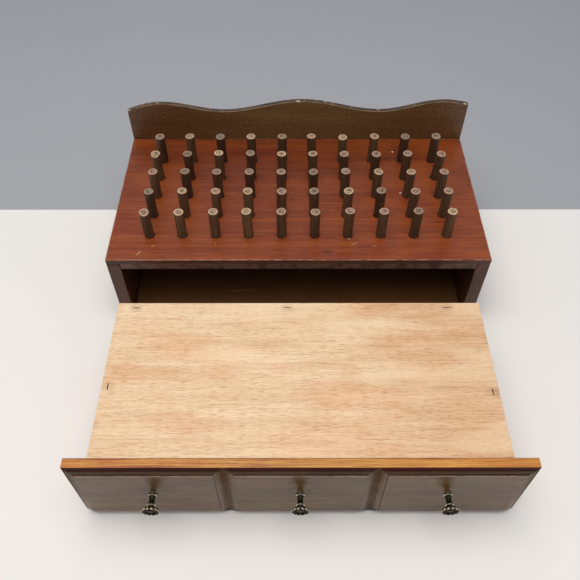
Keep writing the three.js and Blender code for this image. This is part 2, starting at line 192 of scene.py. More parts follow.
class Shader:
    """One procedural material, with a short call for each kind of node.

    place, x, y and z are a point's coordinates in the CAD frame, in millimetres. A mask is a value
    that goes from 0 to 1.
    """

    def __init__(self, name):
        self.material = bpy.data.materials.new(name)
        self.material.use_nodes = True
        self.nodes = self.material.node_tree.nodes
        self.links = self.material.node_tree.links
        self.surface = self.nodes["Principled BSDF"]
        metres = self.node("TexCoord").outputs["Object"]
        self.place = self.vector("MULTIPLY", metres, [1 / MM] * 3)
        self.x, self.y, self.z = self.node("SeparateXYZ", {"Vector": self.place}).outputs

    def feed(self, socket, value):
        if isinstance(value, bpy.types.NodeSocket):
            self.links.new(value, socket)
        else:
            socket.default_value = value

    def node(self, kind, inputs=None, **settings):
        node = self.nodes.new("ShaderNode" + kind)
        for name, value in settings.items():
            setattr(node, name, value)
        for name, value in (inputs or {}).items():
            self.feed(node.inputs[name], value)
        return node

    def math(self, operation, *values):
        node = self.node("Math", operation=operation)
        for socket, value in zip(node.inputs, values):
            self.feed(socket, value)
        return node.outputs[0]

    def vector(self, operation, *vectors, output="Vector"):
        node = self.node("VectorMath", operation=operation)
        for socket, value in zip(node.inputs, vectors):
            self.feed(socket, value)
        return node.outputs[output]

    def attribute(self, name):
        """A value that the mesh stores in its vertices."""
        return self.node("Attribute", attribute_name=name).outputs["Fac"]

    def times(self, first, *others):
        """Product of the values."""
        for value in others:
            first = self.math("MULTIPLY", first, value)
        return first

    def most(self, first, *others):
        """The largest of the values."""
        for value in others:
            first = self.math("MAXIMUM", first, value)
        return first

    def total(self, *weighted):
        """Sum of (value, weight) pairs."""
        result = 0.0
        for value, weight in weighted:
            result = self.math("MULTIPLY_ADD", value, weight, result)
        return result

    def vary(self, mask, start, change):
        """start where the mask is 0, and start + change where it is 1."""
        return self.math("MULTIPLY_ADD", mask, change, start)

    def step(self, value, low, high):
        """Rises smoothly from 0 at low to 1 at high."""
        inputs = {"Value": value, "From Min": low, "From Max": high}
        return self.node("MapRange", inputs, interpolation_type="SMOOTHSTEP").outputs["Result"]

    def fall(self, value, low, high):
        """Falls smoothly from 1 at low to 0 at high."""
        return self.math("SUBTRACT", 1.0, self.step(value, low, high))

    def noise(self, size, seed, detail=2.0, distortion=0.0):
        """Noise from 0 to 1 whose grains have that size along x, y and z."""
        scale = [1 / side for side in size]
        shift = (seed * 7.31, seed * 3.17, seed * 5.73)
        inputs = {"Vector": self.place, "Scale": scale, "Location": shift}
        point = self.node("Mapping", inputs).outputs["Vector"]
        inputs = {"Vector": point, "Scale": 1.0, "Detail": detail, "Distortion": distortion}
        return self.node("TexNoise", inputs).outputs[0]

    def ramp(self, value, stops):
        node = self.node("ValToRGB", {"Fac": value})
        elements = node.color_ramp.elements
        while len(elements) < len(stops):
            elements.new(0.5)
        for element, (place, colour) in zip(elements, stops):
            element.position = place
            element.color = colour
        return node.outputs["Color"]

    def mix(self, mask, first, second, blend="MIX"):
        node = self.node("Mix", data_type="RGBA", blend_type=blend)
        for index, value in ((0, mask), (6, first), (7, second)):
            self.feed(node.inputs[index], value)
        return node.outputs[2]

    def edge_distance(self, low, high):
        """How far a point on a box's surface is from the nearest edge of the box."""
        depths = [
            self.math("MINIMUM", self.math("SUBTRACT", p, a), self.math("SUBTRACT", b, p))
            for p, a, b in zip((self.x, self.y, self.z), low / MM, high / MM)]
        least = self.math("MINIMUM", depths[0], depths[1])
        most = self.math("MAXIMUM", depths[0], depths[1])
        return self.math("MAXIMUM", least, self.math("MINIMUM", most, depths[2]))

    def mark(self, centre, size, turn=0):
        """1 inside an ellipsoid of those full widths, turned about Z in degrees, and 0 outside."""
        offset = self.vector("SUBTRACT", self.place, centre)
        inputs = {"Vector": offset, "Rotation": (0, 0, math.radians(turn))}
        turned = self.node("VectorRotate", inputs, rotation_type="EULER_XYZ").outputs[0]
        unit = self.vector("MULTIPLY", turned, [2 / side for side in size])
        return self.fall(self.vector("LENGTH", unit, output="Value"), 0.6, 1.0)

    def finish(self, colour, roughness, height, depth, metallic=0.0, gloss=0.5):
        """Joins the results to the surface. depth is how deep the bumps of height are."""
        bump = self.node("Bump", {"Height": height, "Distance": depth * MM, "Strength": 1.0})
        results = {
            "Base Color": colour, "Roughness": roughness, "Metallic": metallic,
            "Specular IOR Level": gloss, "Normal": bump.outputs["Normal"]}
        for name, value in results.items():
            self.feed(self.surface.inputs[name], value)
        return self.material


class Wood(Shader):
    """Wood whose figure, fibres and pores run along one axis.

    Its shades go from dark to light. All its colours are display colours given as 0 to 255.
    """

    def __init__(self, name, along, shades, seed, contrast=1.0, figure_width=7):
        super().__init__(name)
        self.along = along
        figure = self.grain(130, figure_width, seed, 3, 0.5)
        streak = self.grain(38, 1.5, seed + 1, 3)
        fibre = self.grain(8, 0.45, seed + 2)
        self.cloud = self.noise((70, 45, 45), seed + 3)
        self.fine = self.grain(14, 0.8, seed + 4)
        self.pores = self.step(self.grain(4.5, 0.4, seed + 5, 1), 0.6, 0.72)
        self.height = self.total((streak, 0.3), (fibre, 0.7), (self.pores, -0.8))
        level = self.total((figure, 0.42), (streak, 0.36), (fibre, 0.22))
        spread = 0.13 / contrast
        stops = [
            (0.5 + shift, tone(*shade)) for shift, shade in zip((-spread, 0, spread), shades)]
        self.colour = self.ramp(level, stops)

    def grain(self, length, width, seed, detail=2.0, distortion=0.0):
        """Noise stretched along the wood."""
        size = [length if axis == self.along else width for axis in "xyz"]
        return self.noise(size, seed, detail, distortion)

    def shade(self, mask, colour, strength=1.0):
        """Multiplies the wood by a colour where the mask is above 0."""
        mask = self.times(mask, strength)
        self.colour = self.mix(mask, self.colour, tone(*colour), "MULTIPLY")

    def paint(self, mask, colour, strength=1.0):
        """Covers the wood with a colour where the mask is above 0."""
        self.colour = self.mix(self.times(mask, strength), self.colour, tone(*colour))

    def coat(self, roughness, depth, gloss=0.5):
        """Joins the wood to the surface."""
        return self.finish(self.colour, roughness, self.height, depth, gloss=gloss)


def worn(shader, low, high, reach, ragged, seed):
    """Where a box's edges are rubbed: 1 at an edge, in patches, and 0 past reach."""
    patches = shader.noise((9, 9, 9), seed, 3)
    limit = shader.vary(patches, reach - ragged, 2 * ragged)
    near = shader.math("LESS_THAN", shader.edge_distance(low, high), limit)
    return shader.times(near, shader.step(patches, 0.42, 0.56))


# ---- Mesh helpers ----

def link(made):
    bpy.context.scene.collection.objects.link(made)


def weight_normals(made):
    """Shades the faces smooth, but keeps the corners sharp."""
    made.data.set_sharp_from_angle(angle=SHARP_ANGLE)
    made.modifiers.new("weighted normals", "WEIGHTED_NORMAL").keep_sharp = True


def piece(name, bm, body, materials, node):
    """Makes a piece that stands for a CAD node from a bmesh, and frees the bmesh."""
    bmesh.ops.recalc_face_normals(bm, faces=bm.faces)
    mesh = bpy.data.meshes.new(name)
    bm.to_mesh(mesh)
    bm.free()
    for material in materials:
        mesh.materials.append(material)
    mesh.polygons.foreach_set("use_smooth", [True] * len(mesh.polygons))
    made = bpy.data.objects.new(name, mesh)
    link(made)
    weight_normals(made)
    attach(made, body)
    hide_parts(node)
    return made


def box_mesh(low, high):
    """A bmesh box between two corners."""
    bm = bmesh.new()
    bmesh.ops.create_cube(bm, size=1)
    for vertex in bm.verts:
        for i in range(3):
            vertex.co[i] = low[i] if vertex.co[i] < 0 else high[i]
    return bm


def bevel(bm, edges, radius, segments):
    bmesh.ops.bevel(
        bm, geom=edges, offset=radius * MM, segments=segments, profile=0.5, affect="EDGES",
        clamp_overlap=True)


def round_edges(bm, radius):
    """Rounds every sharp edge of a bmesh."""
    bm.normal_update()
    edges = [e for e in bm.edges if e.is_manifold and e.calc_face_angle() > EDGE_ANGLE]
    bevel(bm, edges, radius, 3)
    return bm


def board_mesh(low, high, radius=EDGE_ROUND):
    return round_edges(box_mesh(low, high), radius)


def outline_mesh(points, y_front, y_back):
    """A bmesh plate whose outline is (x, z) points and whose faces look along Y."""
    bm = bmesh.new()
    front = bm.faces.new([bm.verts.new((x, y_front, z)) for x, z in points])
    made = bmesh.ops.extrude_face_region(bm, geom=[front])
    for vertex in (g for g in made["geom"] if isinstance(g, bmesh.types.BMVert)):
        vertex.co.y = y_back
    bmesh.ops.recalc_face_normals(bm, faces=bm.faces)
    return bm


def bridge(bm, first, second):
    """Makes faces between two rings of vertices. A ring may be a single vertex."""
    for k in range(max(len(first), len(second))):
        after = k + 1
        corners = [
            first[k % len(first)], first[after % len(first)],
            second[after % len(second)], second[k % len(second)]]
        bm.faces.new(list(dict.fromkeys(corners)))


def revolve(profile, sides, place, shape=None):
    """A bmesh turned about +Z from (radius, height) points, and then moved to its place.

    The first and the last point of the profile lie on the axis. shape(radius, height, angle) may
    return another radius and height for a point.
    """
    bm = bmesh.new()
    rings = []
    for radius, height in profile:
        if radius == 0:
            rings.append([bm.verts.new(mm(0, 0, height))])
            continue
        ring = []
        for k in range(sides):
            angle = math.tau * k / sides
            r, h = shape(radius, height, angle) if shape else (radius, height)
            ring.append(bm.verts.new(mm(r * math.cos(angle), r * math.sin(angle), h)))
        rings.append(ring)
    for low, high in zip(rings, rings[1:]):
        bridge(bm, low, high)
    bmesh.ops.transform(bm, matrix=place, verts=bm.verts)
    return bm


def joined_mesh(name, parts):
    """One mesh of several closed bmeshes, which it frees."""
    joined = bmesh.new()
    for part in parts:
        bmesh.ops.recalc_face_normals(part, faces=part.faces)
        single = bpy.data.meshes.new(name)
        part.to_mesh(single)
        part.free()
        joined.from_mesh(single)
        bpy.data.meshes.remove(single)
    mesh = bpy.data.meshes.new(name)
    joined.to_mesh(mesh)
    joined.free()
    return mesh


def cut(target, cutters):
    """Cuts closed bmeshes out of a piece, and frees them."""
    mesh = joined_mesh("cutter", cutters)
    tool = bpy.data.objects.new("cutter", mesh)
    link(tool)
    target.modifiers.remove(target.modifiers["weighted normals"])
    modifier = target.modifiers.new("cut", "BOOLEAN")
    modifier.operation = "DIFFERENCE"
    modifier.solver = "EXACT"
    modifier.use_self = True
    modifier.object = tool
    graph = bpy.context.evaluated_depsgraph_get()
    result = bpy.data.meshes.new_from_object(target.evaluated_get(graph))
    target.modifiers.remove(modifier)
    target.data = result
    bpy.data.objects.remove(tool)
    bpy.data.meshes.remove(mesh)
    weight_normals(target)


def towards(axis):
    """A rotation that turns +Z to an axis."""
    return Vector(axis).to_track_quat("Z", "Y").to_matrix().to_4x4()


def turned(axis, degrees):
    return Matrix.Rotation(math.radians(degrees), 4, axis)


# ---- Case ----

TOP_LOW, TOP_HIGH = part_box("top_board")
# Lower corner of the part of the top board that lies over the sides.
LIP_LOW = Vector((TOP_LOW.x, TOP_LOW.y, TOP_HIGH.z - TOP_LIP * MM))


def peg_places():
    """(row, column, x, y) of each peg, from the CAD rows."""
    places = []
    for row in range(1, PEG_ROWS + 1):
        low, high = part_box(f"peg_row_{row}")
        first = low.x + PEG_RADIUS * MM
        pitch = (high.x - low.x - 2 * PEG_RADIUS * MM) / (PEG_COLUMNS - 1)
        y = (low.y + high.y) / 2
        for column in range(1, PEG_COLUMNS + 1):
            places.append((row, column, first + (column - 1) * pitch, y))
    return places


def top_marks(wood):
    """Scratches, chips and dark stains on the top."""
    surface = TOP_HIGH.z / MM
    for (x, y), (width, length), turn in TOP_SCRATCHES:
        scratch = wood.mark((x, y, surface), (width, length, MARK_DEPTH), turn)
        wood.paint(scratch, (226, 160, 110), 0.55)
    for (x, y), (width, length) in TOP_CHIPS:
        chip = wood.mark((x, y, surface), (width, length, MARK_DEPTH))
        wood.paint(chip, (226, 214, 205))
    for (x, y), (width, length) in TOP_STAINS:
        stain = wood.mark((x, y, surface), (width, length, MARK_DEPTH))
        wood.shade(stain, (120, 60, 60), 0.5)


def top_material():
    """Red-brown satin varnish over fine straight grain, oranger towards the rear corners, with
    painted shade at the rear.
    """
    shades = [(112, 50, 18), (132, 60, 22), (152, 76, 30)]
    wood = Wood("top varnish with painted shade", "x", shades, 1, contrast=0.9, figure_width=3.5)
    rear = wood.step(wood.y, -30, 60)
    side = wood.step(wood.math("ABSOLUTE", wood.x), 30, 130)
    orange = wood.times(wood.step(wood.cloud, 0.4, 0.62), wood.math("ADD", rear, side))
    wood.paint(orange, (166, 84, 32), 0.315)
    wood.shade(wood.pores, (110, 80, 70), 0.5)
    lines = wood.step(wood.grain(22, 0.55, 23, 3), 0.54, 0.66)
    wood.shade(lines, (150, 120, 110), 0.4)
    red = wood.step(wood.noise((50, 18, 30), 21), 0.5, 0.7)
    wood.shade(red, (225, 185, 190), 0.5)
    # Painted shade and reflection: the top darker towards the rear, where the pegs shade it and it
    # mirrors the dark back board.
    wood.shade(rear, (205, 198, 186), 0.8)
    top_marks(wood)
    wood.paint(worn(wood, LIP_LOW, TOP_HIGH, 0.75, 0.45, 31), (190, 140, 108), 0.4)
    smears = wood.step(wood.noise((40, 30, 30), 33, 3), 0.35, 0.7)
    return wood.coat(wood.vary(smears, 0.3, 0.1), 0.05)


def bay_floor_and_shade(wood):
    """1 on the face that the drawer slides over, past its front edge, and less at its rear, as
    painted shade deeper in the bay.
    """
    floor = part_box("bottom_board")[1].z / MM
    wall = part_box("right_side")[0].x / MM
    front = TOP_LOW.y / MM
    return wood.times(
        wood.step(wood.y, front + 2, front + 6),
        wood.fall(wood.math("ABSOLUTE", wood.x), wall + 0.1, wall + 0.4),
        wood.step(wood.z, floor - 0.4, floor - 0.1),
        wood.fall(wood.z, floor + 0.1, floor + 0.4),
        # Less towards the rear, which leaves painted shade deeper in the bay.
        wood.vary(wood.step(wood.y, -50, 50), 1.0, -0.7))


def case_material(name, along, seed, low, high):
    """Dark brown satin stain with rubbed edges, paler where the drawer slides, and painted shade
    towards the rear of the bay.
    """
    wood = Wood(name, along, [(60, 32, 20), (80, 45, 28), (104, 60, 38)], seed)
    # The bay floor paler past its front edge, fading to painted shade towards the rear of the bay.
    rubbed = wood.times(bay_floor_and_shade(wood), wood.step(wood.cloud, 0.2, 0.5))
    wood.paint(rubbed, (112, 76, 44), 0.75)
    wood.paint(wood.mark(*BAY_SCRATCH), (150, 116, 80))
    wood.shade(wood.pores, (120, 105, 95), 0.5)
    wood.shade(wood.step(wood.cloud, 0.45, 0.65), (215, 205, 185), 0.4)
    wood.paint(worn(wood, low, high, 0.6, 0.4, seed + 9), (140, 104, 80), 0.35)
    return wood.coat(wood.vary(wood.fine, 0.32, 0.16), 0.06, gloss=0.4)


def top_board():
    """The top, with a lip at each end over the sides and fifty holes for the pegs."""
    bottom_low, bottom_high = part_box("bottom_board")
    low, high = TOP_LOW, TOP_HIGH
    lip = LIP_LOW.z
    points = [
        (bottom_low.x, low.z), (bottom_high.x, low.z), (bottom_high.x, lip), (high.x, lip),
        (high.x, high.z), (low.x, high.z), (low.x, lip), (bottom_low.x, lip),
    ]
    bm = round_edges(outline_mesh(points, low.y, high.y), OUTLINE_ROUND)
    bm.normal_update()
    for face in bm.faces:
        on_top = face.normal.z > 0.7 and face.calc_center_median().z > lip
        face.material_index = 0 if on_top else 1
    edge = case_material("top edge stain", "x", 41, LIP_LOW, high)
    made = piece("top_board_wood", bm, "case", [top_material(), edge], "top_board")
    seat = (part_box("peg_row_1")[0].z - high.z) / MM
    hole = [(0, seat), (PEG_HOLE_RADIUS, seat), (PEG_HOLE_RADIUS, 1), (0, 1)]
    cut(made, [
        revolve(hole, PEG_HOLE_SIDES, Matrix.Translation((x, y, high.z)))
        for _, _, x, y in peg_places()])


def case_boards():
    """The bottom and the two sides."""
    for node, along, seed in (
            ("bottom_board", "x", 51), ("left_side", "y", 61), ("right_side", "y", 71)):
        low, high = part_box(node)
        material = case_material(f"{node}_wood stain", along, seed, low, high)
        piece(f"{node}_wood", board_mesh(low, high), "case", [material], node)


def wave_rise(span, share):
    """How much of a span's rise is done at a share of its width: quarter waves end the board."""
    if span == 0:
        return math.sin(math.pi / 2 * share)
    if span == len(BACK_WAVE) - 2:
        return 1 - math.cos(math.pi / 2 * share)
    return (1 - math.cos(math.pi * share)) / 2


def wave_outline():
    """(x, z) in metres along the back board's top edge, from left to right."""
    points = []
    for span, ((x0, z0), (x1, z1)) in enumerate(zip(BACK_WAVE, BACK_WAVE[1:])):
        for k in range(WAVE_STEPS):
            share = k / WAVE_STEPS
            points.append((x0 + (x1 - x0) * share, z0 + (z1 - z0) * wave_rise(span, share)))
    points.append(BACK_WAVE[-1])
    return [(x * MM, z * MM) for x, z in points]


def back_stain():
    """Dark olive-brown stain with fine specks, redder at the left and greyer at the right."""
    shades = [(98, 70, 38), (116, 84, 47), (134, 102, 60)]
    wood = Wood("back stain", "x", shades, 81, contrast=0.6)
    wood.shade(wood.fall(wood.x, -150, -10), (208, 178, 150))
    wood.shade(wood.step(wood.x, 20, 140), (222, 200, 185))
    wood.shade(wood.pores, (110, 100, 85), 0.6)
    speck = wood.noise((2.2, 1.6, 1.4), 91, 3)
    wood.shade(wood.step(speck, 0.5, 0.6), (150, 140, 120), 0.35)
    wood.paint(wood.fall(speck, 0.36, 0.43), (150, 118, 74), 0.2)
    return wood.coat(wood.vary(wood.fine, 0.3, 0.2), 0.06)


def back_edge():
    """The back board's edge, rubbed pale along its front arris and chipped."""
    shades = [(46, 33, 22), (66, 49, 34), (92, 72, 52)]
    wood = Wood("back edge", "x", shades, 85)
    chipped = wood.step(wood.noise((4, 6, 4), 95, 3), 0.62, 0.68)
    wood.paint(chipped, (170, 140, 104), 0.6)
    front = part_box("wavy_back_board")[0].y / MM
    arris = wood.fall(wood.y, front + 0.35, front + 0.6)
    rubbed = wood.times(arris, wood.step(wood.noise((12, 6, 6), 97, 3), 0.38, 0.55))
    wood.paint(rubbed, (160, 134, 102), 0.55)
    for centre, size in BACK_CHIPS:
        wood.paint(wood.mark(centre, size), (214, 200, 180), 0.6)
    return wood.coat(0.55, 0.1)


def back_board():
    """The wavy board: stained faces, and a worn edge all round."""
    low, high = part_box("wavy_back_board")
    points = [(low.x, low.z), (high.x, low.z), *reversed(wave_outline())]
    bm = round_edges(outline_mesh(points, low.y, high.y), OUTLINE_ROUND)
    bm.normal_update()
    for face in bm.faces:
        face.material_index = 0 if abs(face.normal.y) > 0.9 else 1
    materials = [back_stain(), back_edge()]
    piece("wavy_back_board_wood", bm, "case", materials, "wavy_back_board")


# ---- Pegs ----

def peg_stain():
    """Dark stained sides, whose tone differs from peg to peg."""
    shades = [(72, 50, 32), (92, 66, 42), (116, 86, 56)]
    wood = Wood("peg stain", "z", shades, 101)
    wood.shade(wood.attribute("tint"), (145, 130, 122), 0.8)
    wood.shade(wood.pores, (120, 110, 100), 0.6)
    rubbed = wood.step(wood.noise((5, 5, 9), 107, 3), 0.6, 0.7)
    wood.paint(rubbed, (120, 92, 62), 0.25)
    return wood.coat(wood.vary(wood.fine, 0.38, 0.2), 0.1)


def peg_end():
    """Pale sawn ends, dirty in the middle, whose tone differs from peg to peg."""
    end = Shader("peg end")
    rim = end.attribute("rim")
    colour = end.ramp(end.attribute("tint"), [
        (0.0, tone(204, 176, 138)), (0.25, tone(192, 160, 126)), (0.5, tone(184, 146, 122)),
        (0.75, tone(166, 138, 114)), (1.0, tone(142, 120, 100))])
    grime = end.step(end.noise((2.4, 1.8, 4), 111, 3), 0.44, 0.58)
    dirty = end.times(end.vary(grime, 0.36, 0.5), end.fall(rim, 0.5, 0.82))
    colour = end.mix(dirty, colour, tone(82, 60, 45))
    speck = end.step(end.noise((0.9, 0.9, 2), 113), 0.54, 0.64)
    colour = end.mix(end.times(speck, 0.6), colour, tone(70, 50, 36))
    outline = end.step(rim, 0.9, 1.0)
    colour = end.mix(end.times(outline, 0.55), colour, tone(98, 70, 48))
    height = end.total((grime, -0.6), (speck, -0.8), (end.noise((0.5, 0.5, 0.5), 117), 0.6))
    return end.finish(colour, 0.62, height, 0.12)


def peg_profile(radius, seat, stand):
    """(radius, height over the top board) from the middle of the seat to that of the end."""
    heights = (seat + 0.4, -0.6, 0.6, stand * 0.35, stand * 0.7, stand - 1.6, stand - 0.5)
    return [
        (0, seat), (radius - 0.4, seat), *((radius, height) for height in heights),
        (radius - 0.06, stand - 0.22), (radius - 0.22, stand - 0.06), (radius - 0.5, stand),
        *((radius * share, stand) for share in (0.72, 0.5, 0.25, 0)),
    ]


def peg_wear(radius, stand, slope, shift, broken_towards, broken_depth):
    """The shape of a peg for revolve(): uneven, with an end that slopes, chips and breaks."""
    def wear(r, h, angle):
        point = Vector((math.cos(angle), math.sin(angle), h / 12)) * 0.9 + shift
        r *= 1 + PEG_UNEVEN * noise.noise(point)
        if h > stand - 1:
            chip = max(0.0, noise.noise(point * 2.3) - 0.25)
            h += slope[0] * r * math.cos(angle) + slope[1] * r * math.sin(angle) - chip * 0.5
            r -= chip * 0.5
            reach = r / radius * math.cos(angle - broken_towards)
            h -= broken_depth * max(0.0, reach - BREAK_START) / (1 - BREAK_START)
        return r, h
    return wear


def off_axis(point, foot, lean, height):
    """How far a point is from the axis of a leaning peg at a height over its foot."""
    return ((point - foot).xy - (lean @ Vector((0, 0, height))).xy).length


def mark_peg(bm, foot, lean, radius, stand, broken_depth, tint):
    """Stores what the peg materials need, and gives the end its own material."""
    tint_layer = bm.verts.layers.float.new("tint")
    rim_layer = bm.verts.layers.float.new("rim")
    for vertex in bm.verts:
        vertex[tint_layer] = tint
        offset = off_axis(vertex.co, foot, lean, vertex.co.z - foot.z)
        vertex[rim_layer] = offset / (radius * MM)
    end_from = foot.z + (stand - 0.6 - broken_depth) * MM
    for face in bm.faces:
        centre = face.calc_center_median()
        inner = off_axis(centre, foot, lean, stand * MM) < (radius - 0.12) * MM
        face.material_index = 1 if centre.z > end_from and inner else 0


def peg(row, column, x, y, materials, rng):
    """One peg: a dowel with a softened rim, a little out of true, seated in the top board."""
    surface = TOP_HIGH.z / MM
    seat, crown = (corner.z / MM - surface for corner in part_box(f"peg_row_{row}"))
    stand = crown + rng.uniform(-PEG_SHORTER, PEG_LONGER)
    radius = PEG_RADIUS * rng.uniform(PEG_THINNEST, 1.0)
    slope = rng.uniform(-PEG_SLOPE, PEG_SLOPE), rng.uniform(-PEG_SLOPE, PEG_SLOPE)
    shift = Vector((rng.random(), rng.random(), rng.random())) * 100
    spin = rng.uniform(0, math.tau)
    lean = turned("X", rng.gauss(0, PEG_LEAN)) @ turned("Y", rng.gauss(0, PEG_LEAN))
    stray = mm(rng.uniform(-PEG_SHIFT, PEG_SHIFT), rng.uniform(-PEG_SHIFT, PEG_SHIFT), 0)
    foot = Vector((x, y, TOP_HIGH.z)) + stray
    break_angle, break_depth = PEG_BREAKS.get((row, column), (0, 0))
    wear = peg_wear(radius, stand, slope, shift, math.radians(break_angle) - spin, break_depth)
    place = Matrix.Translation(foot) @ lean @ Matrix.Rotation(spin, 4, "Z")
    bm = revolve(peg_profile(radius, seat + PEG_SEAT_GAP, stand), PEG_SIDES, place, wear)
    mark_peg(bm, foot, lean, radius, stand, break_depth, rng.random())
    piece(f"peg_{row}_{column}", bm, "case", materials, f"peg_row_{row}")


def pegs():
    rng = random.Random(7)
    materials = [peg_stain(), peg_end()]
    for row, column, x, y in peg_places():
        peg(row, column, x, y, materials, rng)


# ---- Drawer ----

FRONT_LOW, FRONT_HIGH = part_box("drawer_front")


def corner_arc(x, z, radius, start):
    """Points of a quarter circle, counter-clockwise from the start angle in degrees."""
    angles = [math.radians(start + 90 * k / CORNER_ARCS) for k in range(CORNER_ARCS + 1)]
    return [(x + radius * math.cos(angle), z + radius * math.sin(angle)) for angle in angles]


def panel_outline(x0, x1, z0, z1, left_radius, right_radius):
    """A rectangle with its two lower corners rounded, counter-clockwise seen from the front."""
    return [
        *corner_arc(x0 + left_radius, z0 + left_radius, left_radius, 180),
        *corner_arc(x1 - right_radius, z0 + right_radius, right_radius, 270),
        (x1, z1), (x0, z1),
    ]


def moulding_profile():
    """(inset, depth) from the board's edge to the raised field."""
    points = []
    for k in range(MOULD_BANDS + 1):
        swell = math.sin(math.pi / 2 * k / MOULD_BANDS) ** MOULD_SOFTNESS
        depth = MOULD_DEPTH - (MOULD_DEPTH - MOULD_STEP) * swell
        points.append((MOULD_WIDTH * k / MOULD_BANDS, depth))
    return points + [
        (MOULD_WIDTH + 0.05, MOULD_STEP / 2), (MOULD_WIDTH + 0.2, 0.06), (MOULD_WIDTH + 0.45, 0)]


def moulding_shade_masks(wood):
    """Masks of the front's bands, by how far a point is from the edges and below the face.

    hollow: painted shade in the deep part of the upright mouldings. band: painted shade and
    reflection
    in the deep part of the level ones. shoulder: all of the level ones, fainter painted shade.
    low:
    painted shade on the lowest moulding. crease: painted shade on the step to a field. arris: a
    field's upper and lower edges, worn and partly a painted highlight.
    """
    across = wood.math("ABSOLUTE", wood.x)
    to_groove = wood.math("ABSOLUTE", wood.math("SUBTRACT", across, GROOVE_X))
    to_side = wood.math(
        "MINIMUM", to_groove, wood.math("SUBTRACT", FRONT_HIGH.x / MM, across))
    to_end = wood.math(
        "MINIMUM", wood.math("SUBTRACT", wood.z, FRONT_LOW.z / MM),
        wood.math("SUBTRACT", FRONT_HIGH.z / MM, wood.z))
    level = wood.step(wood.math("SUBTRACT", to_side, to_end), -0.2, 0.2)
    upright = wood.math("SUBTRACT", 1.0, level)
    depth = wood.math("SUBTRACT", wood.y, FRONT_LOW.y / MM)
    lowest = FRONT_LOW.z / MM + MOULD_WIDTH
    return {
        "hollow": wood.times(upright, wood.step(depth, 0.7, 2.4)),
        "band": wood.times(level, wood.step(depth, 1.3, 1.8)),
        "shoulder": wood.times(level, wood.step(depth, 0.68, 0.76), 0.7),
        "low": wood.fall(wood.z, lowest - 0.6, lowest + 0.1),
        "crease": wood.times(wood.step(depth, 0.12, 0.25), wood.fall(depth, 0.66, 0.7)),
        "arris": wood.times(
            level, wood.fall(depth, 0.12, 0.2),
            wood.fall(to_end, MOULD_WIDTH + 0.8, MOULD_WIDTH + 1.5)),
    }


def front_stain_and_shade():
    """Satin stain with painted shade and reflection: maroon in the level mouldings, olive in the
    upright ones, darker in the creases and the lowest moulding, worn and partly painted highlight
    at the arris.
    """
    shades = [(70, 46, 18), (95, 67, 29), (121, 89, 45)]
    wood = Wood("front stain and painted shade", "x", shades, 121, contrast=0.8, figure_width=4)
    wood.shade(wood.pores, (110, 95, 85), 0.45)
    wood.shade(wood.step(wood.noise((45, 30, 18), 127), 0.45, 0.65), (220, 215, 185))
    red = wood.step(wood.noise((30, 30, 14), 129), 0.5, 0.66)
    wood.shade(red, (255, 205, 195), 0.5)

    masks = moulding_shade_masks(wood)
    # Painted shade and reflection in the mouldings and creases, and on the lowest moulding.
    wood.shade(masks["hollow"], (212, 196, 150))
    wood.shade(masks["band"], (212, 108, 92))
    wood.shade(masks["shoulder"], (175, 150, 125))
    wood.shade(masks["low"], (110, 95, 90), 0.8)
    wood.shade(masks["crease"], (110, 80, 70), 0.8)

    patches = wood.step(wood.noise((14, 9, 3), 131), 0.5, 0.66)
    wood.paint(wood.times(wood.fall(wood.z, 6, 17), patches), (136, 92, 62), 0.5)
    # The fields' upper and lower edges paler: worn, and partly a painted highlight.
    ragged = wood.step(wood.noise((7, 5, 5), 133, 3), 0.4, 0.55)
    wood.paint(wood.times(masks["arris"], wood.vary(ragged, 0.2, 0.45)), (186, 140, 120))
    # Painted shade: each hole is a dark spot, with no hole in the mesh.
    for x, z in FRONT_HOLES:
        wood.paint(wood.mark((x, FRONT_LOW.y / MM, z), (1.7, 3, 1.5)), (22, 14, 10))

    dull = wood.most(*(masks[name] for name in ("hollow", "band", "low", "crease", "shoulder")))
    return wood.coat(wood.vary(wood.fine, 0.22, 0.14), 0.05, gloss=wood.vary(dull, 0.45, -0.36))


def golden_edge():
    """The bare golden edges of the front, oranger at the ends and darker below."""
    shades = [(146, 84, 24), (192, 129, 50), (218, 166, 76)]
    wood = Wood("front edge", "x", shades, 141)
    streak = wood.step(wood.grain(46, 1.4, 145, 3, 0.4), 0.54, 0.66)
    wood.shade(streak, (200, 120, 60), 0.6)
    wood.shade(wood.step(wood.math("ABSOLUTE", wood.x), 30, 130), (240, 202, 172), 0.5)
    wood.shade(wood.fall(wood.z, 60, 70), (150, 120, 105))
    return wood.coat(0.42, 0.08)


def front_inside():
    shades = [(120, 74, 42), (150, 98, 58), (176, 122, 78)]
    return Wood("front inside", "x", shades, 151).coat(0.6, 0.1)


def add_field(bm, x0, x1, left_radius, right_radius):
    """Adds a raised field with the moulding around it."""
    bottom, top = FRONT_LOW.z / MM, FRONT_HIGH.z / MM
    face = FRONT_LOW.y / MM
    loops = []
    for inset, depth in moulding_profile():
        outline = panel_outline(
            x0 + inset, x1 - inset, bottom + inset, top - inset,
            max(left_radius - inset, SQUARE_CORNER), max(right_radius - inset, SQUARE_CORNER))
        loops.append([bm.verts.new(mm(x, face + depth, z)) for x, z in outline])
    for outer, inner in zip(loops, loops[1:]):
        bridge(bm, outer, inner)
    bm.faces.new(loops[-1])


def close_slab(bm, back):
    """Carries the open rim to the back and closes it, in the second and third material."""
    rim = [edge for edge in bm.edges if edge.is_boundary]
    for item in bmesh.ops.extrude_edge_only(bm, edges=rim)["geom"]:
        if isinstance(item, bmesh.types.BMFace):
            item.material_index = 1
        if isinstance(item, bmesh.types.BMVert):
            item.co.y = back
    rim = [edge for edge in bm.edges if edge.is_boundary]
    for face in bmesh.ops.contextual_create(bm, geom=rim)["faces"]:
        face.material_index = 2
    bm.normal_update()
    rear_edges = [
        e for e in bm.edges if e.is_manifold and e.calc_face_angle() > math.radians(60)
        and all(abs(v.co.y - back) < 1e-6 for v in e.verts)]
    bevel(bm, rear_edges, SLAB_ROUND, 2)


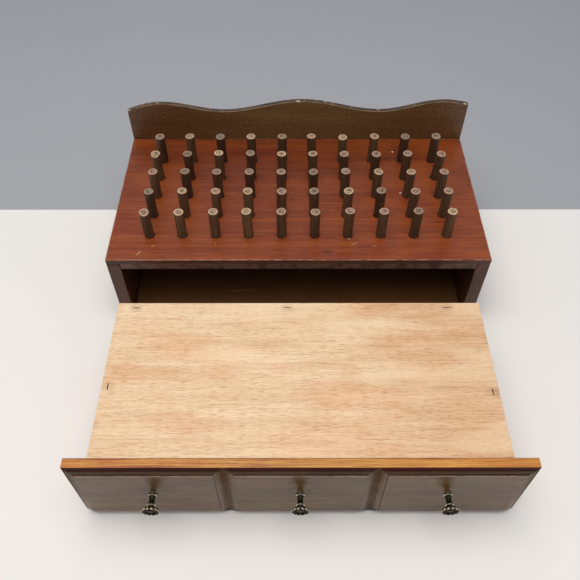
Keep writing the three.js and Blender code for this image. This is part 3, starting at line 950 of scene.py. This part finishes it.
def drawer_front():
    """The moulded front board as one closed mesh, with housings for the sides and the bottom."""
    left, right = FRONT_LOW.x / MM, FRONT_HIGH.x / MM
    bm = bmesh.new()
    add_field(bm, left, -GROOVE_X, FRONT_CORNER, SQUARE_CORNER)
    add_field(bm, -GROOVE_X, GROOVE_X, SQUARE_CORNER, SQUARE_CORNER)
    add_field(bm, GROOVE_X, right, SQUARE_CORNER, FRONT_CORNER)
    bmesh.ops.remove_doubles(bm, verts=bm.verts, dist=2 * SQUARE_CORNER * MM)
    close_slab(bm, FRONT_HIGH.y)
    materials = [front_stain_and_shade(), golden_edge(), front_inside()]
    made = piece("drawer_front_wood", bm, "drawer", materials, "drawer_front")
    housings = []
    gap = mm(HOUSING_GAP, HOUSING_GAP, HOUSING_GAP)
    for node in ("drawer_left_side", "drawer_right_side", "drawer_bottom"):
        low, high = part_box(node)
        housings.append(box_mesh(low - gap, high + gap))
    cut(made, housings)


def drawer_wall_material(name, along, seed):
    """Bare light wood, a little grubby."""
    shades = [(150, 104, 62), (184, 136, 88), (208, 166, 118)]
    wood = Wood(name, along, shades, seed)
    wood.shade(wood.pores, (150, 120, 95), 0.5)
    wood.shade(wood.step(wood.cloud, 0.5, 0.7), (225, 205, 185), 0.5)
    return wood.coat(0.62, 0.12)


def drawer_walls():
    """The two sides and the back."""
    for node, along, seed in (("drawer_left_side", "y", 161), ("drawer_right_side", "y", 171),
                              ("drawer_back", "x", 181)):
        material = drawer_wall_material(f"{node} wood", along, seed)
        board = board_mesh(*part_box(node))
        piece(f"{node}_wood", board, "drawer", [material], node)


def rust_stains(wood, surface):
    """A faint stain round each staple."""
    for i in range(1, STAPLES + 1):
        low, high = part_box(f"bottom_staple_{i}")
        centre = (low + high) / (2 * MM)
        stain = wood.mark((centre.x, centre.y, surface), (13, 9, 6))
        wood.shade(stain, (170, 130, 95), 0.22)


def plywood_material(low, high):
    """Pale plywood with fine dark pore lines on its faces and a darker core in its edges."""
    shades = [(218, 181, 138), (233, 201, 161), (244, 219, 184)]
    wood = Wood("plywood", "x", shades, 191, contrast=0.8, figure_width=12)
    wood.shade(wood.step(wood.x, 30, 120), (240, 226, 214))
    lines = wood.step(wood.grain(7, 0.45, 197), 0.52, 0.66)
    wood.shade(lines, (190, 142, 98), 0.5)
    long_lines = wood.step(wood.grain(30, 0.6, 199, 3, 0.3), 0.58, 0.68)
    wood.shade(long_lines, (186, 138, 98), 0.45)
    for centre, size in WARM_PATCHES:
        wood.shade(wood.mark(centre, size), (226, 176, 132), 0.3)
    pink = wood.step(wood.noise((70, 26, 20), 203, 3), 0.47, 0.66)
    wood.shade(pink, (245, 205, 180), 0.4)
    pale = wood.step(wood.noise((90, 22, 20), 207), 0.5, 0.66)
    wood.paint(pale, (243, 216, 178), 0.4)
    rust_stains(wood, high.z / MM)
    bottom, top = low.z / MM, high.z / MM
    ply = (top - bottom) / PLIES
    core = wood.times(wood.step(wood.z, bottom + ply * 0.95, bottom + ply * 1.05),
                      wood.fall(wood.z, top - ply * 1.05, top - ply * 0.95))
    wood.shade(core, (176, 128, 88), 0.7)
    return wood.coat(0.58, 0.1)


def drawer_bottom():
    low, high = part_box("drawer_bottom")
    board = board_mesh(low, high, PLYWOOD_ROUND)
    material = plywood_material(low, high)
    piece("drawer_bottom_plywood", board, "drawer", [material], "drawer_bottom")


# ---- Metal ----

def metal(name, dark, light, roughness, seed):
    """Tarnished metal, brighter and smoother where it is rubbed."""
    shader = Shader(name)
    patina = shader.noise((1.2, 1.2, 1.2), seed, 3)
    rubbed = shader.step(patina, 0.42, 0.64)
    colour = shader.mix(rubbed, dark, light)
    return shader.finish(colour, shader.vary(rubbed, roughness, -0.14), patina, 0.03, metallic=1.0)


def knob_material():
    """Antiqued metal: dark and greenish, and bright where the mesh says that it is rubbed."""
    shader = Shader("knob bronze")
    patina = shader.noise((1.3, 1.3, 1.3), 211, 3)
    rub = shader.math("MULTIPLY_ADD", patina, 0.5, shader.attribute("rub"))
    bright = shader.step(rub, 0.55, 1.0)
    green = shader.step(shader.noise((2.5, 2.5, 2.5), 213), 0.4, 0.6)
    dark = shader.mix(green, tone(44, 36, 27), tone(52, 52, 38))
    colour = shader.mix(bright, dark, tone(206, 192, 166))
    return shader.finish(colour, shader.vary(bright, 0.46, -0.2), patina, 0.03, metallic=1.0)


def lobe(angle):
    """1 on the middle line of a knob's petal, and 0 between two petals."""
    return abs(math.cos(KNOB_PETALS * angle / 2)) ** 0.55


def petal(radius, height, angle):
    """Draws the head's rim in and down between its petals."""
    if radius <= PETAL_ROOT or height <= KNOB_NECK:
        return radius, height
    gap = (radius - PETAL_ROOT) / PETAL_LENGTH * (1 - lobe(angle))
    return radius - 1.15 * gap, height - 0.9 * gap


def knob_rub(radius, height, angle):
    """How much a point of the knob is rubbed, from 0 to 1."""
    if height < KNOB_NECK:
        return 0.7 if radius > 2.6 else 0.15
    if height > 10.9 and radius < 2.4:
        return 0.35
    crest = max(0.0, 1 - abs(radius - 5.9) / 0.8)
    return crest * lobe(angle) if height > 9.5 else 0.0


def knob_mesh(place):
    """A waisted stem and a head with a ring of petals round a dished face, along +Z."""
    profile = [
        *KNOB_FOOT, *KNOB_STEM, *KNOB_COLLAR, *KNOB_HEAD, *KNOB_RIM, *KNOB_DISH, *KNOB_BOSS]
    bm = revolve(profile, KNOB_PETALS * 8, Matrix.Identity(4), petal)
    rub = bm.verts.layers.float.new("rub")
    for vertex in bm.verts:
        x, y, z = vertex.co / MM
        vertex[rub] = knob_rub(math.hypot(x, y), z, math.atan2(y, x))
    bmesh.ops.transform(bm, matrix=place, verts=bm.verts)
    return bm


def knobs():
    bronze = knob_material()
    rng = random.Random(3)
    for side, body in KNOB_BODIES.items():
        low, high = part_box(f"{side}_knob")
        centre = (low + high) / 2
        foot = Matrix.Translation((centre.x, high.y, centre.z))
        spin = Matrix.Rotation(rng.uniform(0, math.tau), 4, "Z")
        bm = knob_mesh(foot @ towards((0, -1, 0)) @ spin)
        piece(f"{side}_knob_metal", bm, body, [bronze], f"{side}_knob")


def screw_profile(length, radius, head):
    """(radius, height) of a ringed shank below 0 and a pan head above it."""
    shank = [(0, -length), (0.9, -length + 0.5)]
    for ring in range(int(length / SCREW_PITCH) - 1):
        root = -length + 0.9 + ring * SCREW_PITCH
        shank += [(SCREW_CORE, root), (SCREW_CREST, root + SCREW_PITCH / 2)]
    return shank + [
        (SCREW_CORE, 0), (radius - 0.15, 0.3), (radius, 0.5), (radius, head * 0.45),
        (radius - 0.4, head * 0.8), (radius - 1.2, head), (0, head)]


def screws(steel):
    """Slotted pan-head screws that hold the knobs from inside the drawer."""
    seat = FRONT_HIGH.y
    for side, body in KNOB_BODIES.items():
        node = f"{side}_knob_screw"
        low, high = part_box(node)
        centre = (low + high) / 2
        radius = (high.x - low.x) / 2 / MM
        profile = screw_profile((seat - low.y) / MM, radius, (high.y - seat) / MM)
        place = Matrix.Translation((centre.x, seat, centre.z)) @ towards((0, 1, 0))
        bm = revolve(profile, SCREW_SIDES, place)
        made = piece(f"{node}_metal", bm, body, [steel], node)
        top = Vector((centre.x, high.y, centre.z))
        slot_low = top - mm(SLOT_REACH, SLOT_DEPTH, SLOT_WIDTH / 2)
        slot_high = top + mm(SLOT_REACH, 1, SLOT_WIDTH / 2)
        cut(made, [box_mesh(slot_low, slot_high)])


def brad_axes():
    """(body, node, outward axis) of each brad."""
    axes = [("case", f"back_brad_{i}", (0, 1, 0)) for i in range(1, BACK_BRADS + 1)]
    for i in range(1, DRAWER_BRADS + 1):
        low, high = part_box(f"drawer_brad_{i}")
        side = 1 if low.x + high.x > 0 else -1
        axes.append(("drawer", f"drawer_brad_{i}", (side, 0, 0)))
    return axes


def brads(steel):
    """Round-headed brads through the back board and the drawer's sides."""
    for body, node, axis in brad_axes():
        low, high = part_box(node)
        length = max(high - low)
        head = (low + high) / 2 + Vector(axis) * (length / 2)
        profile = [
            (0, -length / MM), (BRAD_RADIUS, -length / MM + 1.4), (BRAD_RADIUS, -0.9),
            (1.15, -0.6), (1.2, -0.25), (1.1, -0.08), (0.7, 0), (0, 0.02)]
        bm = revolve(profile, BRAD_SIDES, Matrix.Translation(head) @ towards(axis))
        piece(f"{node}_metal", bm, body, [steel], node)


def staple_path(half, drop):
    """(along the crown, height) of the wire's middle, from one leg's tip to the other's."""
    leg = half - WIRE_HALF_THICK
    path = [(-leg, -drop)]
    for sign, start in ((-1, 180), (1, 90)):
        for k in range(BEND_STEPS + 1):
            angle = math.radians(start - 90 * k / BEND_STEPS)
            along = sign * (leg - STAPLE_BEND) + STAPLE_BEND * math.cos(angle)
            path.append((along, STAPLE_BEND * (math.sin(angle) - 1) - WIRE_HALF_THICK))
    path.append((leg, -drop))
    return path


def wire_mesh(path, place):
    """A wire with an oval section along a path in the XZ plane, and then moved to its place."""
    bm = bmesh.new()
    rings = []
    for before, (x, z), after in zip([path[0], *path], path, [*path[1:], path[-1]]):
        direction = (Vector(after) - Vector(before)).normalized()
        ring = []
        for side in range(WIRE_SIDES):
            angle = math.tau * side / WIRE_SIDES
            out = WIRE_HALF_THICK * math.cos(angle)
            wide = WIRE_HALF_WIDE * math.sin(angle)
            ring.append(bm.verts.new(mm(x - direction.y * out, wide, z + direction.x * out)))
        rings.append(ring)
    for first, second in zip(rings, rings[1:]):
        bridge(bm, first, second)
    bm.faces.new(rings[0])
    bm.faces.new(rings[-1])
    bmesh.ops.transform(bm, matrix=place, verts=bm.verts)
    return bm


def staples(steel):
    """Flat-wire staples pressed into the plywood, their legs bent down from a straight crown."""
    for i in range(1, STAPLES + 1):
        node = f"bottom_staple_{i}"
        low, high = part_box(node)
        size = (high - low) / MM
        centre = (low + high) / 2
        top = Vector((centre.x, centre.y, high.z + STAPLE_PROUD * MM))
        place = Matrix.Translation(top) @ turned("Z", 0 if size.x > size.y else 90)
        bm = wire_mesh(staple_path(max(size.x, size.y) / 2, size.z), place)
        piece(f"{node}_wire", bm, "drawer", [steel], node)


# ---- Stage ----

def pale(name, colour, variation, size, seed):
    """A plain matt surface with a slight mottling."""
    shader = Shader(name)
    mottle = shader.noise((size, size, size), seed, 3)
    darker = tuple(c * (1 - variation) for c in colour[:3]) + (1.0,)
    return shader.finish(shader.mix(mottle, darker, colour), 0.75, mottle, 0.02)


def ground(name, y_front, y_rear, material):
    """A level stretch of the floor."""
    bm = bmesh.new()
    corners = [(-FLOOR_REACH, y_front), (FLOOR_REACH, y_front),
               (FLOOR_REACH, y_rear), (-FLOOR_REACH, y_rear)]
    bm.faces.new([bm.verts.new(mm(x, y, 0)) for x, y in corners])
    mesh = bpy.data.meshes.new(name)
    bm.to_mesh(mesh)
    bm.free()
    mesh.materials.append(material)
    made = bpy.data.objects.new(name, mesh)
    link(made)


def overhead_light():
    data = bpy.data.lights.new("overhead light", "AREA")
    data.shape = "RECTANGLE"
    data.size, data.size_y = (side * MM for side in LIGHT_SIZE)
    data.energy = LIGHT_POWER
    data.color = (1.0, 0.94, 0.87)
    made = bpy.data.objects.new("overhead light", data)
    made.location = mm(*LIGHT_PLACE)
    aim = mm(*LIGHT_TARGET) - made.location
    made.rotation_euler = aim.to_track_quat("-Z", "Y").to_euler()
    link(made)


def stage():
    """The floor in its two tones, the light and the room around them."""
    near = pale("pale floor", tone(239, 235, 230), 0.03, 90, 301)
    # The far floor's grey stands for the wall beyond: partly its own grey, partly painted shade of
    # a wall that gets less light.
    far = pale("grey floor", tone(166, 167, 171), 0.05, 160, 303)
    ground("floor", -FLOOR_REACH, FLOOR_REAR, near)
    ground("far floor", FLOOR_REAR, FLOOR_REACH, far)
    overhead_light()
    world = bpy.data.worlds.new("room")
    world.use_nodes = True
    background = world.node_tree.nodes["Background"]
    background.inputs["Color"].default_value = (0.77, 0.86, 1.0, 1)
    background.inputs["Strength"].default_value = ROOM_BRIGHTNESS
    bpy.context.scene.world = world
    bpy.context.scene.view_settings.view_transform = "Standard"


def camera():
    data = bpy.data.cameras.new("camera")
    data.sensor_width = CAMERA_SENSOR
    data.lens = CAMERA_LENS
    data.clip_start = 0.01
    made = bpy.data.objects.new("camera", data)
    made.location = mm(*CAMERA_PLACE)
    made.rotation_euler = (math.radians(90 - CAMERA_PITCH), 0, math.radians(CAMERA_YAW))
    link(made)
    bpy.context.scene.camera = made


camera()
stage()
top_board()
case_boards()
back_board()
pegs()
drawer_front()
drawer_walls()
drawer_bottom()
knobs()
fastener_steel = metal("fastener steel", tone(96, 92, 88), tone(164, 160, 154), 0.45, 221)
staple_steel = metal("staple steel", tone(58, 50, 44), tone(120, 110, 100), 0.5, 231)
screws(fastener_steel)
brads(fastener_steel)
staples(staple_steel)
